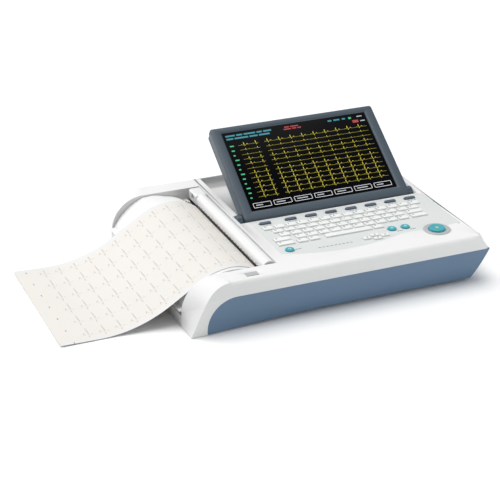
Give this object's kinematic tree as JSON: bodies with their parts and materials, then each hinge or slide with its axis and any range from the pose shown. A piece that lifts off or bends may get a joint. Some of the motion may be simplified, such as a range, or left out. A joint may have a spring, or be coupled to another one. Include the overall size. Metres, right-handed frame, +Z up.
{
  "type": "ecg machine",
  "caption": "Desktop electrocardiograph with a tilting colour display, a letter keyboard and a wide chart recorder whose printed sheet runs out over the left end.",
  "frame": {"origin": "on the table, under the middle of the box round the machine and its sheet of paper", "axes": "+X to the right along the front edge, +Y from the user to the rear, +Z up"},
  "size_m": [0.571, 0.328, 0.1485],
  "materials": {
    "white_casing": "fine satin moulding",
    "blue_casing": "fine satin moulding",
    "grey_panel": "smooth printed film",
    "display_shell": "satin",
    "screen": "smooth anti-glare",
    "light_keys": "satin",
    "dark_keys": "satin",
    "teal_keys": "satin",
    "start_key": "satin",
    "rubber": "matt",
    "paper": "smooth coated",
    "steel": "brushed",
    "bronze": "turned",
    "gear_plastic": "moulded",
    "aluminium": "extruded",
    "print_ceramic": "ground",
    "circuit_board": "lacquered",
    "dark_plastic": "moulded"
  },
  "bodies": {
    "base": {"upper_casing": "white_casing", "tear_bar": "white_casing", "paper_tray": "white_casing", "lid_runners": "white_casing", "lower_casing": "blue_casing", "battery_door": "blue_casing", "keyboard_panel": "grey_panel", "start_ring": "grey_panel", "hinge_posts": "display_shell", "rubber_feet": "rubber", "key_mat": "rubber", "paper_pack": "paper", "printer_frame": "steel", "head_springs": "steel", "tear_blade": "steel", "feed_motor": "steel", "data_ports": "steel", "ecg_module": "steel", "earth_post": "bronze", "head_carrier": "aluminium", "print_head": "print_ceramic", "main_board": "circuit_board", "keyboard_board": "circuit_board", "power_supply": "circuit_board", "battery_pack": "dark_plastic", "mains_inlet": "dark_plastic", "fuse_caps": "dark_plastic", "patient_socket": "dark_plastic"},
    "lid": {"recorder_lid": "white_casing", "platen_bushes": "bronze", "recorder_paper": "paper"},
    "platen": {"platen_roller": "rubber", "platen_shaft": "steel", "platen_gear": "gear_plastic"},
    "pinion": {"motor_pinion": "gear_plastic"},
    "display": {"display_bezel": "display_shell", "display_back": "display_shell", "lcd_panel": "screen", "display_board": "circuit_board", "hinge_pins": "steel"},
    "release": {"lid_release": "grey_panel"},
    "number_keys_body": {"number_keys": "light_keys"},
    "upper_letter_keys_body": {"upper_letter_keys": "light_keys"},
    "middle_letter_keys_body": {"middle_letter_keys": "light_keys"},
    "lower_letter_keys_body": {"lower_letter_keys": "light_keys"},
    "bottom_row_keys_body": {"bottom_row_keys": "light_keys"},
    "space_bar_body": {"space_bar": "light_keys"},
    "arrow_keys_body": {"arrow_keys": "light_keys"},
    "function_key_1_body": {"function_key_1": "dark_keys"},
    "function_key_2_body": {"function_key_2": "dark_keys"},
    "function_key_3_body": {"function_key_3": "dark_keys"},
    "function_key_4_body": {"function_key_4": "dark_keys"},
    "function_key_5_body": {"function_key_5": "dark_keys"},
    "function_key_6_body": {"function_key_6": "dark_keys"},
    "function_key_7_body": {"function_key_7": "dark_keys"},
    "function_key_8_body": {"function_key_8": "dark_keys"},
    "patient_key_body": {"patient_key": "teal_keys"},
    "copy_key_body": {"copy_key": "teal_keys"},
    "mode_key_body": {"mode_key": "teal_keys"},
    "start_key_body": {"start_key": "start_key"}
  },
  "joints": [
    {"name": "lid_slide", "type": "slide", "parent": "base", "child": "lid", "axis": [-1, 0, 0], "range_m": [0, 0.08]},
    {"name": "platen_spin", "type": "hinge", "parent": "lid", "child": "platen", "pos_m": [-0.028, 0.00001, 0.043], "axis": [0, 1, 0], "continuous": true},
    {"name": "pinion_spin", "type": "hinge", "parent": "base", "child": "pinion", "pos_m": [-0.0193, 0.00001, 0.0343], "axis": [0, 1, 0], "continuous": true},
    {"name": "display_tilt", "type": "hinge", "parent": "base", "child": "display", "pos_m": [0, 0.00959, 0.06035], "axis": [1, 0, 0], "range_deg": [-34, 41]},
    {"name": "release_press", "type": "slide", "parent": "base", "child": "release", "axis": [0, 0, -1], "range_m": [0, 0.002], "stiffness_N_per_m": 400, "springref_m": -0.001},
    {"name": "number_keys_press", "type": "slide", "parent": "base", "child": "number_keys_body", "axis": [0, 0, -1], "range_m": [0, 0.0012], "stiffness_N_per_m": 400, "springref_m": -0.001},
    {"name": "upper_letter_keys_press", "type": "slide", "parent": "base", "child": "upper_letter_keys_body", "axis": [0, 0, -1], "range_m": [0, 0.0012], "stiffness_N_per_m": 400, "springref_m": -0.001},
    {"name": "middle_letter_keys_press", "type": "slide", "parent": "base", "child": "middle_letter_keys_body", "axis": [0, 0, -1], "range_m": [0, 0.0012], "stiffness_N_per_m": 400, "springref_m": -0.001},
    {"name": "lower_letter_keys_press", "type": "slide", "parent": "base", "child": "lower_letter_keys_body", "axis": [0, 0, -1], "range_m": [0, 0.0012], "stiffness_N_per_m": 400, "springref_m": -0.001},
    {"name": "bottom_row_keys_press", "type": "slide", "parent": "base", "child": "bottom_row_keys_body", "axis": [0, 0, -1], "range_m": [0, 0.0012], "stiffness_N_per_m": 400, "springref_m": -0.001},
    {"name": "space_bar_press", "type": "slide", "parent": "base", "child": "space_bar_body", "axis": [0, 0, -1], "range_m": [0, 0.0012], "stiffness_N_per_m": 400, "springref_m": -0.001},
    {"name": "arrow_keys_press", "type": "slide", "parent": "base", "child": "arrow_keys_body", "axis": [0, 0, -1], "range_m": [0, 0.0012], "stiffness_N_per_m": 400, "springref_m": -0.001},
    {"name": "function_key_1_press", "type": "slide", "parent": "base", "child": "function_key_1_body", "axis": [0, 0, -1], "range_m": [0, 0.0012], "stiffness_N_per_m": 300, "springref_m": -0.001},
    {"name": "function_key_2_press", "type": "slide", "parent": "base", "child": "function_key_2_body", "axis": [0, 0, -1], "range_m": [0, 0.0012], "stiffness_N_per_m": 300, "springref_m": -0.001},
    {"name": "function_key_3_press", "type": "slide", "parent": "base", "child": "function_key_3_body", "axis": [0, 0, -1], "range_m": [0, 0.0012], "stiffness_N_per_m": 300, "springref_m": -0.001},
    {"name": "function_key_4_press", "type": "slide", "parent": "base", "child": "function_key_4_body", "axis": [0, 0, -1], "range_m": [0, 0.0012], "stiffness_N_per_m": 300, "springref_m": -0.001},
    {"name": "function_key_5_press", "type": "slide", "parent": "base", "child": "function_key_5_body", "axis": [0, 0, -1], "range_m": [0, 0.0012], "stiffness_N_per_m": 300, "springref_m": -0.001},
    {"name": "function_key_6_press", "type": "slide", "parent": "base", "child": "function_key_6_body", "axis": [0, 0, -1], "range_m": [0, 0.0012], "stiffness_N_per_m": 300, "springref_m": -0.001},
    {"name": "function_key_7_press", "type": "slide", "parent": "base", "child": "function_key_7_body", "axis": [0, 0, -1], "range_m": [0, 0.0012], "stiffness_N_per_m": 300, "springref_m": -0.001},
    {"name": "function_key_8_press", "type": "slide", "parent": "base", "child": "function_key_8_body", "axis": [0, 0, -1], "range_m": [0, 0.0012], "stiffness_N_per_m": 300, "springref_m": -0.001},
    {"name": "patient_key_press", "type": "slide", "parent": "base", "child": "patient_key_body", "axis": [0, 0, -1], "range_m": [0, 0.0012], "stiffness_N_per_m": 300, "springref_m": -0.001},
    {"name": "copy_key_press", "type": "slide", "parent": "base", "child": "copy_key_body", "axis": [0, 0, -1], "range_m": [0, 0.0012], "stiffness_N_per_m": 300, "springref_m": -0.001},
    {"name": "mode_key_press", "type": "slide", "parent": "base", "child": "mode_key_body", "axis": [0, 0, -1], "range_m": [0, 0.0012], "stiffness_N_per_m": 300, "springref_m": -0.001},
    {"name": "start_key_press", "type": "slide", "parent": "base", "child": "start_key_body", "axis": [0, 0, -1], "range_m": [0, 0.0012], "stiffness_N_per_m": 300, "springref_m": -0.001}
  ],
  "couplings": [
    {"joint": "pinion_spin", "follows": "platen_spin", "ratio": -2}
  ]
}
